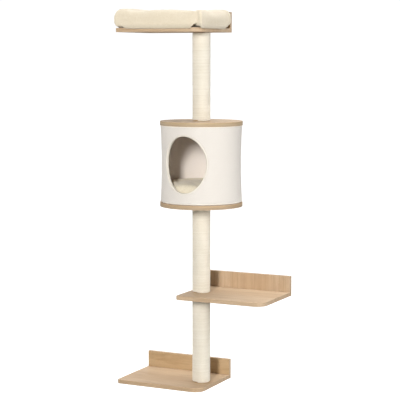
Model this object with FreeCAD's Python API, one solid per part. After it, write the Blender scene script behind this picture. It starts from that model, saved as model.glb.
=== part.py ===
import FreeCAD, Part
import math
import os

from FreeCAD import Vector

# A wall mounted cat tree: three wood-look shelves with upright back panels, three rope-wound
# posts in one line, a round cabin with an egg-shaped doorway, and a plush bed on the top shelf.
# Frame: +X along the wall, +Y towards the wall, +Z up. The origin is on the wall's face,
# midway between the two wall-screw holes of the lowest back panel.

# ---- driving sizes, millimetres ----

# shelves and their back panels
SHELF_WIDTH = 364.0
SHELF_DEPTH = 278.0             # from the wall to the front edge
BOARD_THICKNESS = 16.0
PANEL_THICKNESS = 16.0
PANEL_RISE = 62.0               # how far a back panel stands above its shelf
LEFT_CORNER_RADIUS = 12.0
RIGHT_CORNER_RADIUS = 42.0
EDGE_CHAMFER = 1.0

# wall fixing
WALL_HOLE_RADIUS = 2.75
WALL_HOLE_RISE = 31.0           # hole line above the shelf's top
WALL_HOLE_END_GAP = 45.0        # hole centre to the panel's end

# joints between a shelf and its panel
JOINT_SCREW_END_GAP = 47.0      # screw to the shelf's end
SCREW_HEAD_RADIUS = 5.0
SCREW_HEAD_HEIGHT = 3.0
SCREW_RADIUS = 3.2
SCREW_LENGTH = 50.0

# posts
POST_LENGTH = 337.0
POST_INSET = 53.0               # post axis to the near end of a shelf
POST_TO_WALL = 160.0
TUBE_RADIUS = 30.5
TUBE_WALL = 4.0
ROPE_DIAMETER = 4.5
PLUG_HEIGHT = 25.0
NUT_WIDTH = 13.0                # across the flats of a long nut, as long as its plug

# bolts that hold the posts
BOLT_RADIUS = 4.0
BOLT_REACH = 15.0               # how far a bolt or stud enters a post
BOLT_HEAD_RADIUS = 9.0
BOLT_HEAD_HEIGHT = 3.5
BOLT_HEAD_SINK = 0.5            # head below the face that it is let into
BOLT_SOCKET_WIDTH = 5.0
BOLT_SOCKET_DEPTH = 2.5

# round cabin
CABIN_RADIUS = 158.0            # floor and roof boards
CABIN_WALL_HEIGHT = 295.0
WALL_SETBACK = 1.5              # wall's ends inside the boards' rims
WAIST_DRAW_IN = 4.5             # how far the cover is drawn in at half height
COVER_AT_WAIST = 3.5            # the padded cover's thickness at half height
COVER_BANDS = 3                 # the drawn-in curve: a straight band between two flared ones
CORE_THICKNESS = 4.5            # card, with the cloth lining that is glued inside it
DISC_THICKNESS = 9.0

# doorway, an egg that is widest a little above its middle
DOOR_WIDTH = 170.0
DOOR_SILL = 44.0                # above the cabin's floor board
DOOR_BELOW_WIDEST = 112.0
DOOR_ABOVE_WIDEST = 104.0
BINDING_THICKNESS = 1.5
BINDING_PROUD = 0.8

# cabin cushion
CUSHION_FOOT_DRAW_IN = 14.0     # from the side's widest line in to the foot
CUSHION_WIDEST_HEIGHT = 30.0
CUSHION_SHOULDER_DRAW_IN = 16.0
CUSHION_SHOULDER_HEIGHT = 58.0
CUSHION_TOP_DRAW_IN = 62.0
CUSHION_HEIGHT = 70.0

# plush bed
BED_SIDE_OVERHANG = 6.0         # past each end of its shelf
BED_FRONT_OVERHANG = 2.4        # past the shelf's front edge
BED_HEIGHT = 74.0
BOLSTER_WIDTH = 62.0
BOLSTER_FOOT_WIDTH = 43.0       # the bolster's sides are drawn in to this at the bottom
BOLSTER_WAIST_HEIGHT = 33.0     # where it is widest
BED_CORNER_RADIUS = 36.0        # seen from above
BED_PAD_CROWN = 30.0
BED_PAD_SIDE_HEIGHT = 16.0      # at its front and back
BED_PAD_END_HEIGHT = 20.0       # at its left and right ends
BED_PAD_CORNER = 30.0
BED_CLOTH_THICKNESS = 1.0

# named clearances
BED_GAP = 0.4                   # between the lift-off bed and the shelf or panel
SOFT_GAP = 0.5                  # between one soft piece and the next
CUSHION_GAP = 0.8               # round the cabin's cushion
GLUE_GAP = 0.15                 # between nested round pieces
THREAD_GAP = 0.1                # between a thread and its hole
BOLT_HOLE_GAP = 0.5             # between a bolt and the board it passes through
BLIND_HOLE_SPARE = 1.0          # bottom of a blind hole beyond what it holds

# ---- levels and lines worked out from them ----

POST_X = SHELF_WIDTH / 2 - POST_INSET
POST_Y = -POST_TO_WALL
MIDDLE_SHELF_X = POST_X - POST_INSET + SHELF_WIDTH / 2
PANEL_FRONT = -PANEL_THICKNESS   # front face of every back panel

BOTTOM_Z = -(BOARD_THICKNESS + WALL_HOLE_RISE)
LOWER_POST_Z = BOTTOM_Z + BOARD_THICKNESS
MIDDLE_Z = LOWER_POST_Z + POST_LENGTH
MIDDLE_POST_Z = MIDDLE_Z + BOARD_THICKNESS
CABIN_Z = MIDDLE_POST_Z + POST_LENGTH
CABIN_FLOOR_Z = CABIN_Z + BOARD_THICKNESS
CABIN_ROOF_Z = CABIN_FLOOR_Z + CABIN_WALL_HEIGHT
UPPER_POST_Z = CABIN_ROOF_Z + BOARD_THICKNESS
BED_SHELF_Z = UPPER_POST_Z + POST_LENGTH
BED_Z = BED_SHELF_Z + BOARD_THICKNESS + BED_GAP
BED_WIDTH = SHELF_WIDTH + 2 * BED_SIDE_OVERHANG
BED_DEPTH = SHELF_DEPTH + BED_FRONT_OVERHANG - PANEL_THICKNESS - BED_GAP

SHELVES = {
    "bottom": (0.0, BOTTOM_Z),
    "middle": (MIDDLE_SHELF_X, MIDDLE_Z),
    "bed": (0.0, BED_SHELF_Z),
}
POSTS = (LOWER_POST_Z, MIDDLE_POST_Z, UPPER_POST_Z)

UP = Vector(0, 0, 1)
BACKWARD = Vector(0, 1, 0)


# ---- small helpers ----

def post_axis(z):
    return Vector(POST_X, POST_Y, z)


def face_of(edges):
    return Part.Face(Part.Wire(edges))


def line(a, b):
    return Part.makeLine(a, b)


def arc(a, middle, b):
    return Part.Arc(a, middle, b).toShape()


def turned(points, base, direction):
    """A solid of revolution: points are (radius, distance along the axis from base)."""
    side = Vector(1, 0, 0) if abs(direction.x) < 0.5 else Vector(0, 0, 1)
    corners = [base + side * r + direction * h for r, h in points]
    corners.append(corners[0])
    return Part.Face(Part.makePolygon(corners)).revolve(base, direction, 360)


def hexagon(width, z):
    """A hexagon round the posts' axis, width across its flats."""
    corner = width / 2 / math.cos(math.pi / 6)
    turns = [math.radians(60 * k) for k in range(7)]
    return Part.Face(Part.makePolygon(
        [post_axis(z) + Vector(corner * math.cos(t), corner * math.sin(t), 0) for t in turns]))


def ring(inner, outer, z, height):
    return Part.makeCylinder(outer, height, post_axis(z)).cut(
        Part.makeCylinder(inner, height, post_axis(z)))


def chamfered(shape, test):
    edges = [e for e in shape.Edges if test(e)]
    return shape.makeChamfer(EDGE_CHAMFER, edges)


def group(shapes):
    return Part.makeCompound(shapes)


# ---- shelves and back panels ----

def shelf_outline(centre_x, z):
    """A shelf's top view: square at the panel, with two different front corner radii."""
    left = centre_x - SHELF_WIDTH / 2
    right = centre_x + SHELF_WIDTH / 2
    front = -SHELF_DEPTH
    a = LEFT_CORNER_RADIUS
    b = RIGHT_CORNER_RADIUS
    cut = 1 - math.sqrt(0.5)
    return face_of([
        line(Vector(left, PANEL_FRONT, z), Vector(left, front + a, z)),
        arc(Vector(left, front + a, z), Vector(left + a * cut, front + a * cut, z),
            Vector(left + a, front, z)),
        line(Vector(left + a, front, z), Vector(right - b, front, z)),
        arc(Vector(right - b, front, z), Vector(right - b * cut, front + b * cut, z),
            Vector(right, front + b, z)),
        line(Vector(right, front + b, z), Vector(right, PANEL_FRONT, z)),
        line(Vector(right, PANEL_FRONT, z), Vector(left, PANEL_FRONT, z)),
    ])


def shelf_board(centre_x, z):
    board = shelf_outline(centre_x, z).extrude(UP * BOARD_THICKNESS)

    def outer_rim(edge):
        box = edge.BoundBox
        return box.ZLength < EDGE_CHAMFER and box.YMin < PANEL_FRONT - EDGE_CHAMFER

    board = chamfered(board, outer_rim)
    screw_holes = [joint_screw(place, THREAD_GAP, BLIND_HOLE_SPARE)
                   for place in joint_screw_places(centre_x, z)]
    return board.cut(screw_holes + [bolt_hole(z)])


def back_panel(centre_x, z):
    height = BOARD_THICKNESS + PANEL_RISE
    panel = Part.makeBox(SHELF_WIDTH, PANEL_THICKNESS, height,
                         Vector(centre_x - SHELF_WIDTH / 2, -PANEL_THICKNESS, z))

    def free_front_rim(edge):
        box = edge.BoundBox
        return box.YMax < PANEL_FRONT + EDGE_CHAMFER and box.ZMax > z + EDGE_CHAMFER

    panel = chamfered(panel, free_front_rim)
    tools = [joint_screw(place, THREAD_GAP, 0.0) for place in joint_screw_places(centre_x, z)]
    tools += [Part.makeCylinder(WALL_HOLE_RADIUS, PANEL_THICKNESS, place, -BACKWARD)
              for place in wall_hole_places(centre_x, z)]
    return panel.cut(tools)


def wall_hole_places(centre_x, z):
    reach = SHELF_WIDTH / 2 - WALL_HOLE_END_GAP
    height = z + BOARD_THICKNESS + WALL_HOLE_RISE
    return [Vector(centre_x - reach, 0, height), Vector(centre_x + reach, 0, height)]


def joint_screw_places(centre_x, z):
    """Where the joint screws' heads lie, flush with the panel's back."""
    height = z + BOARD_THICKNESS / 2
    reach = SHELF_WIDTH / 2 - JOINT_SCREW_END_GAP
    return [Vector(centre_x - reach, 0, height), Vector(centre_x + reach, 0, height)]


def joint_screw(place, gap, spare):
    """A countersunk shelf joint screw, or with a gap round it the hole that it fills."""
    head = Part.makeCone(SCREW_HEAD_RADIUS + gap, SCREW_RADIUS + gap, SCREW_HEAD_HEIGHT,
                         place, -BACKWARD)
    under_head = place - BACKWARD * SCREW_HEAD_HEIGHT
    shank = Part.makeCylinder(SCREW_RADIUS + gap, SCREW_LENGTH - SCREW_HEAD_HEIGHT + spare,
                              under_head, -BACKWARD)
    return head.fuse(shank).removeSplitter()


def joint_screws():
    screws = []
    for centre_x, z in SHELVES.values():
        for place in joint_screw_places(centre_x, z):
            screws.append(joint_screw(place, 0.0, 0.0))
    return group(screws)


# ---- posts ----

def plug_radius():
    return TUBE_RADIUS - TUBE_WALL - GLUE_GAP


def end_plug(z):
    """A post's end plug, from z up, with a six-sided hole for its nut."""
    plug = Part.makeCylinder(plug_radius(), PLUG_HEIGHT, post_axis(z))
    return plug.cut(hexagon(NUT_WIDTH + 2 * GLUE_GAP, z).extrude(UP * PLUG_HEIGHT))


def long_nut(z):
    nut = hexagon(NUT_WIDTH, z).extrude(UP * PLUG_HEIGHT)
    return nut.cut(Part.makeCylinder(BOLT_RADIUS + THREAD_GAP, PLUG_HEIGHT, post_axis(z)))


def at_post_ends(make):
    """One copy for each post's two ends, each flush with the end of its tube."""
    return group([make(z + offset) for z in POSTS
                  for offset in (0.0, POST_LENGTH - PLUG_HEIGHT)])


def post_tubes():
    return group([ring(TUBE_RADIUS - TUBE_WALL, TUBE_RADIUS, z, POST_LENGTH)
                  for z in POSTS])


def rope_wraps():
    """Each post's wound rope as one sleeve, as thick as the rope."""
    inner = TUBE_RADIUS + GLUE_GAP
    return group([ring(inner, TUBE_RADIUS + ROPE_DIAMETER, z, POST_LENGTH)
                  for z in POSTS])


# ---- bolts that hold the posts to the boards ----

def shelf_bolts():
    """Up through the bottom shelf and down through the bed's shelf: seat under the head."""
    sink = BOLT_HEAD_HEIGHT + BOLT_HEAD_SINK
    return [(BOTTOM_Z + sink, 1), (BED_SHELF_Z + BOARD_THICKNESS - sink, -1)]


def cabin_bolts():
    """From inside the cabin, down through its floor and up through its roof."""
    return [(CABIN_FLOOR_Z, -1), (CABIN_ROOF_Z, 1)]


def bolt_hole(z):
    return Part.makeCylinder(BOLT_RADIUS + BOLT_HOLE_GAP, BOARD_THICKNESS, post_axis(z))


def bolt_recess(seat, into):
    """The room for a head that is let into a shelf, from its seat outwards."""
    return Part.makeCylinder(BOLT_HEAD_RADIUS + BOLT_HOLE_GAP, BOARD_THICKNESS,
                             post_axis(seat), UP * -into)


def post_bolt(seat, into, far_face):
    """A broad-headed bolt with a hexagon socket. It enters its post at far_face."""
    head = Part.makeCylinder(BOLT_HEAD_RADIUS, BOLT_HEAD_HEIGHT, post_axis(seat), UP * -into)
    shank = Part.makeCylinder(BOLT_RADIUS, abs(far_face - seat) + BOLT_REACH,
                              post_axis(seat), UP * into)
    socket = hexagon(BOLT_SOCKET_WIDTH, seat - into * BOLT_HEAD_HEIGHT)
    return head.fuse(shank).cut(socket.extrude(UP * into * BOLT_SOCKET_DEPTH))


def joining_stud():
    """The headless stud that joins the two posts through the middle shelf."""
    length = BOARD_THICKNESS + 2 * BOLT_REACH
    return Part.makeCylinder(BOLT_RADIUS, length, post_axis(MIDDLE_Z - BOLT_REACH))


# ---- round cabin ----

def cover_end_radius():
    return CABIN_RADIUS - WALL_SETBACK


def cover_radius(z):
    """Outer radius of the cover at height z: an arc, drawn in at half height."""
    half = CABIN_WALL_HEIGHT / 2
    bend = (half * half + WAIST_DRAW_IN * WAIST_DRAW_IN) / (2 * WAIST_DRAW_IN)
    rise = z - CABIN_FLOOR_Z - half
    waist = cover_end_radius() - WAIST_DRAW_IN
    return waist + bend - math.sqrt(bend * bend - rise * rise)


def core_radius():
    """Outer radius of the straight drum inside the padded cover."""
    return cover_end_radius() - WAIST_DRAW_IN - COVER_AT_WAIST - GLUE_GAP


def core_inner_radius():
    return core_radius() - CORE_THICKNESS


def drawn_in_wall(inner_radius, proud):
    """A round wall as high as the cabin's: straight inside, and outside drawn in like the
    cover, or standing proud of it."""
    low = CABIN_FLOOR_Z
    band = CABIN_WALL_HEIGHT / COVER_BANDS
    corners = [(cover_radius(low + k * band) + proud, k * band) for k in range(COVER_BANDS + 1)]
    corners += [(inner_radius, CABIN_WALL_HEIGHT), (inner_radius, 0.0)]
    return turned(corners, post_axis(low), UP)


def half_ellipse(centre, half_width, height):
    """From side to side over (or, with a negative height, under) the centre."""
    side = centre + Vector(half_width, 0, 0)
    top = centre + Vector(0, 0, height)
    if abs(height) >= half_width:
        return Part.ArcOfEllipse(Part.Ellipse(top, side, centre), -math.pi / 2, math.pi / 2)
    return Part.ArcOfEllipse(Part.Ellipse(side, top, centre), 0, math.pi)


def door_prism(grow):
    """The doorway's egg, grown all round, as a block from the cabin's axis out of its front."""
    widest = CABIN_FLOOR_Z + DOOR_SILL + DOOR_BELOW_WIDEST
    centre = post_axis(widest)
    half_width = DOOR_WIDTH / 2 + grow
    outline = face_of([
        half_ellipse(centre, half_width, DOOR_ABOVE_WIDEST + grow).toShape(),
        half_ellipse(centre, half_width, -DOOR_BELOW_WIDEST - grow).toShape(),
    ])
    return outline.extrude(-BACKWARD * 2 * CABIN_RADIUS)


def with_doorway(shell):
    return shell.cut(door_prism(BINDING_THICKNESS + GLUE_GAP))


def cabin_cover():
    return with_doorway(drawn_in_wall(core_radius() + GLUE_GAP, 0.0))


def cabin_core():
    return with_doorway(ring(core_inner_radius(), core_radius(), CABIN_FLOOR_Z,
                             CABIN_WALL_HEIGHT))


def door_binding():
    """The tape round the doorway's edge, a little proud of the wall inside and out."""
    wall = drawn_in_wall(core_inner_radius() - BINDING_PROUD, BINDING_PROUD)
    return wall.common(door_prism(BINDING_THICKNESS)).cut(door_prism(0.0))


def cabin_board(z):
    """A round board of the cabin, with a hole for the post's bolt."""
    return ring(BOLT_RADIUS + BOLT_HOLE_GAP, CABIN_RADIUS, z, BOARD_THICKNESS)


def mounting_disc(z):
    """The disc, glued to a cabin board, that the cabin's wall is stapled round. Its hole
    clears the bolt's head."""
    return ring(BOLT_HEAD_RADIUS + BOLT_HOLE_GAP, core_inner_radius() - GLUE_GAP, z,
                DISC_THICKNESS)


def cabin_cushion():
    """A thick round pad: drawn in to its foot, and crowned by two slopes and a level top."""
    radius = core_inner_radius() - CUSHION_GAP
    return turned([
        (0, 0),
        (radius - CUSHION_FOOT_DRAW_IN, 0),
        (radius, CUSHION_WIDEST_HEIGHT),
        (radius - CUSHION_SHOULDER_DRAW_IN, CUSHION_SHOULDER_HEIGHT),
        (radius - CUSHION_TOP_DRAW_IN, CUSHION_HEIGHT),
        (0, CUSHION_HEIGHT),
    ], post_axis(CABIN_FLOOR_Z + DISC_THICKNESS), UP)


# ---- plush bed ----

def bed_floor_z():
    return BED_Z + BED_CLOTH_THICKNESS


def bed_centre():
    return Vector(0, PANEL_FRONT - BED_GAP - BED_DEPTH / 2, bed_floor_z())


def bolster_section(place, outward):
    """The bolster's cross section: drawn in to a narrow foot, under a crown of two arcs."""
    half = BOLSTER_WIDTH / 2
    foot = BOLSTER_FOOT_WIDTH / 2
    top = BED_HEIGHT - BED_CLOTH_THICKNESS
    shoulder = BOLSTER_WAIST_HEIGHT + (top - BOLSTER_WAIST_HEIGHT) * 0.73

    def at(across, height):
        return place + outward * across + UP * height

    return face_of([
        line(at(-foot, 0), at(foot, 0)),
        line(at(foot, 0), at(half, BOLSTER_WAIST_HEIGHT)),
        arc(at(half, BOLSTER_WAIST_HEIGHT), at(half * 0.72, shoulder), at(0, top)),
        arc(at(0, top), at(-half * 0.72, shoulder), at(-half, BOLSTER_WAIST_HEIGHT)),
        line(at(-half, BOLSTER_WAIST_HEIGHT), at(-foot, 0)),
    ])


def bolster_side(width, depth, turn):
    """One side of the bolster, width long outside, cut at its two mitred corner seams."""
    along = Vector(math.cos(turn), math.sin(turn), 0)
    outward = Vector(math.sin(turn), -math.cos(turn), 0)
    rim = bed_centre() + outward * (depth / 2)
    start = rim - outward * (BOLSTER_WIDTH / 2) - along * (width / 2)
    bar = bolster_section(start, outward).extrude(along * width)
    mitre = Part.makePolygon([rim - along * (width / 2), rim + along * (width / 2),
                              rim + along * (width / 2 - BOLSTER_WIDTH) - outward * BOLSTER_WIDTH,
                              rim - along * (width / 2 - BOLSTER_WIDTH) - outward * BOLSTER_WIDTH,
                              rim - along * (width / 2)])
    return bar.common(Part.Face(mitre).extrude(UP * BED_HEIGHT))


def bed_bolster():
    """The stuffed rim: four sides joined at mitred corner seams."""
    sides = [
        bolster_side(BED_WIDTH, BED_DEPTH, 0.0),
        bolster_side(BED_DEPTH, BED_WIDTH, math.pi / 2),
        bolster_side(BED_WIDTH, BED_DEPTH, math.pi),
        bolster_side(BED_DEPTH, BED_WIDTH, -math.pi / 2),
    ]
    rim = sides[0].fuse(sides[1:]).removeSplitter()
    plan = Part.Face(rounded_rectangle(BED_WIDTH, BED_DEPTH, BED_CORNER_RADIUS, 0.0))
    return rim.common(plan.extrude(UP * BED_HEIGHT))


def rounded_rectangle(width, depth, radius, z):
    """A rounded rectangle round the bed's middle, at height z above the bed's floor."""
    centre = bed_centre()
    x = width / 2
    y = depth / 2
    cut = radius * (1 - math.sqrt(0.5))

    def at(px, py):
        return centre + Vector(px, py, z)

    return Part.Wire([
        line(at(-x + radius, -y), at(x - radius, -y)),
        arc(at(x - radius, -y), at(x - cut, -y + cut), at(x, -y + radius)),
        line(at(x, -y + radius), at(x, y - radius)),
        arc(at(x, y - radius), at(x - cut, y - cut), at(x - radius, y)),
        line(at(x - radius, y), at(-x + radius, y)),
        arc(at(-x + radius, y), at(-x + cut, y - cut), at(-x, y - radius)),
        line(at(-x, y - radius), at(-x, -y + radius)),
        arc(at(-x, -y + radius), at(-x + cut, -y + cut), at(-x + radius, -y)),
    ])


def crowned_block(span, run, across, edge_height):
    """A block crowned by one arc across its span, and level along its run."""
    along = across.cross(UP)
    start = bed_centre() - along * (run / 2)
    left = start - across * (span / 2)
    right = start + across * (span / 2)
    edge = UP * edge_height
    outline = face_of([
        line(left, right),
        line(right, right + edge),
        arc(right + edge, start + UP * BED_PAD_CROWN, left + edge),
        line(left + edge, left),
    ])
    return outline.extrude(along * run)


def bed_pad():
    """The pad inside the rim: straight sides under a top that is crowned both ways."""
    width = BED_WIDTH - 2 * BOLSTER_WIDTH - 2 * SOFT_GAP
    depth = BED_DEPTH - 2 * BOLSTER_WIDTH - 2 * SOFT_GAP
    plan = Part.Face(rounded_rectangle(width, depth, BED_PAD_CORNER, 0.0))
    pad = plan.extrude(UP * BED_PAD_CROWN)
    pad = pad.common(crowned_block(depth, width, BACKWARD, BED_PAD_SIDE_HEIGHT))
    return pad.common(crowned_block(width, depth, Vector(1, 0, 0), BED_PAD_END_HEIGHT))


def bed_cloth():
    """The bed's bottom cloth, inside the bolster's foot line."""
    inset = BOLSTER_WIDTH * 0.25
    outline = rounded_rectangle(BED_WIDTH - 2 * inset, BED_DEPTH - 2 * inset, BED_PAD_CORNER,
                                -BED_CLOTH_THICKNESS)
    return Part.Face(outline).extrude(UP * BED_CLOTH_THICKNESS)


# ---- the whole object ----

def build():
    nodes = {}
    for name, (centre_x, z) in SHELVES.items():
        nodes[name + "_board"] = shelf_board(centre_x, z)
        nodes[name + "_back_panel"] = back_panel(centre_x, z)
    for name, (seat, into) in zip(("bottom_board", "bed_board"), shelf_bolts()):
        nodes[name] = nodes[name].cut(bolt_recess(seat, into))
    nodes["shelf_joint_screws"] = joint_screws()

    nodes["post_tubes"] = post_tubes()
    nodes["post_ropes"] = rope_wraps()
    nodes["post_end_plugs"] = at_post_ends(end_plug)
    nodes["post_long_nuts"] = at_post_ends(long_nut)
    nodes["post_joining_stud"] = joining_stud()
    post_ends = (LOWER_POST_Z, BED_SHELF_Z)
    nodes["shelf_bolts"] = group([post_bolt(seat, into, far_face)
                                  for (seat, into), far_face in zip(shelf_bolts(), post_ends)])
    post_ends = (CABIN_Z, UPPER_POST_Z)
    nodes["cabin_bolts"] = group([post_bolt(seat, into, far_face)
                                  for (seat, into), far_face in zip(cabin_bolts(), post_ends)])

    nodes["cabin_floor_board"] = cabin_board(CABIN_Z)
    nodes["cabin_roof_board"] = cabin_board(CABIN_ROOF_Z)
    nodes["cabin_floor_disc"] = mounting_disc(CABIN_FLOOR_Z)
    nodes["cabin_roof_disc"] = mounting_disc(CABIN_ROOF_Z - DISC_THICKNESS)
    nodes["cabin_cover"] = cabin_cover()
    nodes["cabin_core"] = cabin_core()
    nodes["cabin_door_binding"] = door_binding()
    nodes["cabin_cushion"] = cabin_cushion()

    nodes["bed_bolster"] = bed_bolster()
    nodes["bed_pad"] = bed_pad()
    nodes["bed_cloth"] = bed_cloth()
    return nodes


def main():
    os.makedirs("parts", exist_ok=True)
    for name, shape in build().items():
        shape.exportStep("parts/" + name + ".step")
        print(name, len(shape.Solids), "solid(s)", round(shape.Volume / 1000.0, 2), "cm3")


main()
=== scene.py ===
import math

import bmesh
import bpy
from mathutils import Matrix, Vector, noise


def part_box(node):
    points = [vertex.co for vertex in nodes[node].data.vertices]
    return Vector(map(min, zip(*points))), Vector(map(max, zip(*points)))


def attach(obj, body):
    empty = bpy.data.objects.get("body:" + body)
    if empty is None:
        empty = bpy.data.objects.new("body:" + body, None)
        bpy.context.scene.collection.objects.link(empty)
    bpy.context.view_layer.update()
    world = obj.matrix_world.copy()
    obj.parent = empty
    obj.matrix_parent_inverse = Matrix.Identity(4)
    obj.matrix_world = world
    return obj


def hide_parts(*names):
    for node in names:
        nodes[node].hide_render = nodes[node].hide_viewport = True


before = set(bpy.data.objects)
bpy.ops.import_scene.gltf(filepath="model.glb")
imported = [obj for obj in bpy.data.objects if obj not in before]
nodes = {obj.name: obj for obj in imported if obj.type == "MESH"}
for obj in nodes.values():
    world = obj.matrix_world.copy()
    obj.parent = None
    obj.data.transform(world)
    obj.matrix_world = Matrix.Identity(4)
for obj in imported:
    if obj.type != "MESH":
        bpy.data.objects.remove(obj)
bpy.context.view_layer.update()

MM = 0.001


# -------- places read from the frame

def spans(node):
    """The node's lowest and highest x, y and z, in millimetres."""
    return [(low / MM, high / MM) for low, high in zip(*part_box(node))]


stud_low, stud_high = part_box("post_joining_stud")
AXIS_X = (stud_low.x + stud_high.x) / 2 / MM
AXIS_Y = (stud_low.y + stud_high.y) / 2 / MM
floor_low, floor_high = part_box("cabin_floor_board")
roof_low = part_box("cabin_roof_board")[0]
BOARD_RADIUS = (floor_high.x - floor_low.x) / 2 / MM
WALL_LOW = floor_high.z / MM
WALL_HIGH = roof_low.z / MM
POST_LENGTH = 337.0
POST_BOTTOMS = [spans(board)[2][1]
                for board in ("bottom_board", "middle_board", "cabin_roof_board")]

# the same sizes as the source's cabin, in millimetres
COVER_END_RADIUS = 156.5
WAIST_DRAW_IN = 4.5
WAIST_RADIUS = COVER_END_RADIUS - WAIST_DRAW_IN
CORE_INNER_RADIUS = 143.85
DOOR_SILL = 44.0
DOOR_HALF = 85.0
DOOR_BELOW = 112.0
DOOR_ABOVE = 104.0
DOOR_CENTRE = WALL_LOW + DOOR_SILL + DOOR_BELOW

# the rope on the posts: one turn's height, its line's radius and its own half thickness
ROPE_PITCH = 4.45
ROPE_LINE = 32.75
ROPE_HALF = 2.2
ROPE_END_GAP = 0.15


# -------- material helpers

class Tree:
    """A small wrapper that adds nodes to one emptied node tree and links them."""

    def __init__(self, owner):
        owner.use_nodes = True
        self.tree = owner.node_tree
        self.tree.nodes.clear()

    def put(self, socket, value):
        if isinstance(value, bpy.types.NodeSocket):
            self.tree.links.new(value, socket)
        elif isinstance(value, (tuple, list)) and socket.type == "RGBA":
            socket.default_value = (*value[:3], 1.0)
        else:
            socket.default_value = value

    def node(self, kind, inputs=None, **settings):
        made = self.tree.nodes.new(kind)
        for key, value in settings.items():
            setattr(made, key, value)
        for key, value in (inputs or {}).items():
            self.put(made.inputs[key], value)
        return made


class Shade(Tree):
    """The nodes of one material."""

    def __init__(self, name):
        self.material = bpy.data.materials.new(name)
        super().__init__(self.material)
        out = self.node("ShaderNodeOutputMaterial")
        self.bsdf = self.node("ShaderNodeBsdfPrincipled")
        self.put(out.inputs[0], self.bsdf.outputs[0])

    def place(self):
        return self.node("ShaderNodeTexCoord").outputs["Object"]

    def math(self, operation, a, b=0.0, c=0.0):
        return self.node("ShaderNodeMath", {0: a, 1: b, 2: c}, operation=operation).outputs[0]

    def plus(self, a, b):
        return self.math("ADD", a, b)

    def minus(self, a, b):
        return self.math("SUBTRACT", a, b)

    def times(self, a, b):
        return self.math("MULTIPLY", a, b)

    def size(self, a):
        return self.math("ABSOLUTE", a)

    def apart(self, vector):
        made = self.node("ShaderNodeSeparateXYZ", {0: vector})
        return made.outputs[0], made.outputs[1], made.outputs[2]

    def together(self, x, y, z):
        return self.node("ShaderNodeCombineXYZ", {0: x, 1: y, 2: z}).outputs[0]

    def scaled(self, vector, x, y, z):
        return self.node("ShaderNodeVectorMath", {0: vector, 1: (x, y, z)},
                         operation="MULTIPLY").outputs[0]

    def noise(self, vector, scale, detail=3.0, roughness=0.5, distortion=0.0):
        return self.node("ShaderNodeTexNoise", {"Vector": vector, "Scale": scale, "Detail": detail,
                                                "Roughness": roughness,
                                                "Distortion": distortion}).outputs[0]

    def range(self, value, low, high, to_low=0.0, to_high=1.0):
        return self.node("ShaderNodeMapRange", {0: value, 1: low, 2: high, 3: to_low,
                                                4: to_high}).outputs[0]

    def mix(self, factor, a, b):
        made = self.node("ShaderNodeMix", data_type="RGBA")
        self.put(made.inputs[0], factor)
        self.put(made.inputs[6], a)
        self.put(made.inputs[7], b)
        return made.outputs[2]

    def over(self, tone, colour, value, low, high, most):
        """Lays a colour over the tone, not at all where value is low and up to most at high."""
        return self.mix(self.range(value, low, high, 0.0, most), tone, colour)

    def bump(self, height, distance, strength):
        return self.node("ShaderNodeBump", {"Height": height, "Distance": distance,
                                            "Strength": strength}).outputs[0]

    def finish(self, **sockets):
        for key, value in sockets.items():
            self.put(self.bsdf.inputs[key.replace("_", " ")], value)
        return self.material


def around(s, vector, radius):
    """The distance round the posts' axis at a radius in metres, the angle and the height."""
    x, y, z = s.apart(vector)
    angle = s.math("ARCTAN2", s.minus(x, AXIS_X * MM), s.minus(AXIS_Y * MM, y))
    return s.times(angle, radius), angle, z


def tinted(colour, amount):
    return tuple(c * amount for c in colour)


# -------- materials

OAK_LIGHT = (0.600, 0.425, 0.268)
OAK_DARK = (0.450, 0.296, 0.170)
OAK_PALE = (0.680, 0.520, 0.362)
# the grey of the painted shade at the lower side of an edge band
FOOT_SHADE_GREY = (0.330, 0.262, 0.190)


def oak(name, grain, seed, light=OAK_LIGHT, dark=OAK_DARK, pale=OAK_PALE, foot=None):
    """Printed oak laminate. grain is x or z, which the grain runs along, or 'ring'. foot is
    the height, in metres, of an edge band that gets painted shade, greyer towards its lower side."""
    s = Shade(name)
    where = s.place()
    if grain == "ring":
        run, _, z = around(s, where, BOARD_RADIUS * MM)
        where = s.together(run, z, 0.0)
        stretch = (0.05, 1.0, 1.0)
    else:
        stretch = {"x": (0.05, 1.0, 1.0), "z": (1.0, 1.0, 0.05)}[grain]
    where = s.node("ShaderNodeVectorMath", {0: where, 1: (seed, seed * 0.7, seed * 0.3)},
                   operation="ADD").outputs[0]
    stretched = s.scaled(where, *stretch)
    plank = s.noise(stretched, 9.0, 2.0, 0.5, 0.4)
    cathedral = s.noise(s.scaled(stretched, 2.2, 1.0, 1.0), 38.0, 3.0, 0.55, 1.1)
    streak = s.noise(s.scaled(stretched, 0.6, 1.0, 1.0), 190.0, 5.0, 0.65, 0.2)
    pore = s.noise(s.scaled(stretched, 3.0, 1.0, 1.0), 900.0, 2.0, 0.5)
    tone = s.mix(s.range(plank, 0.35, 0.68), light, pale)
    tone = s.over(tone, dark, cathedral, 0.47, 0.66, 0.50)
    tone = s.over(tone, dark, streak, 0.50, 0.72, 0.42)
    pores = s.range(pore, 0.60, 0.70)
    tone = s.mix(s.times(pores, 0.35), tone, tinted(dark, 0.62))
    height = s.minus(s.times(streak, 0.4), pores)
    # painted shade: an edge band is darkened to grey towards its lower side
    if foot is not None:
        level = s.apart(s.place())[2]
        tone = s.mix(s.range(level, foot + 0.002, foot + 0.011, 0.55, 0.0), tone, FOOT_SHADE_GREY)
    return s.finish(Base_Color=tone, Roughness=s.range(streak, 0.3, 0.7, 0.44, 0.6),
                    Normal=s.bump(height, 0.0002, 0.5), Specular_IOR_Level=0.32)


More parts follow.
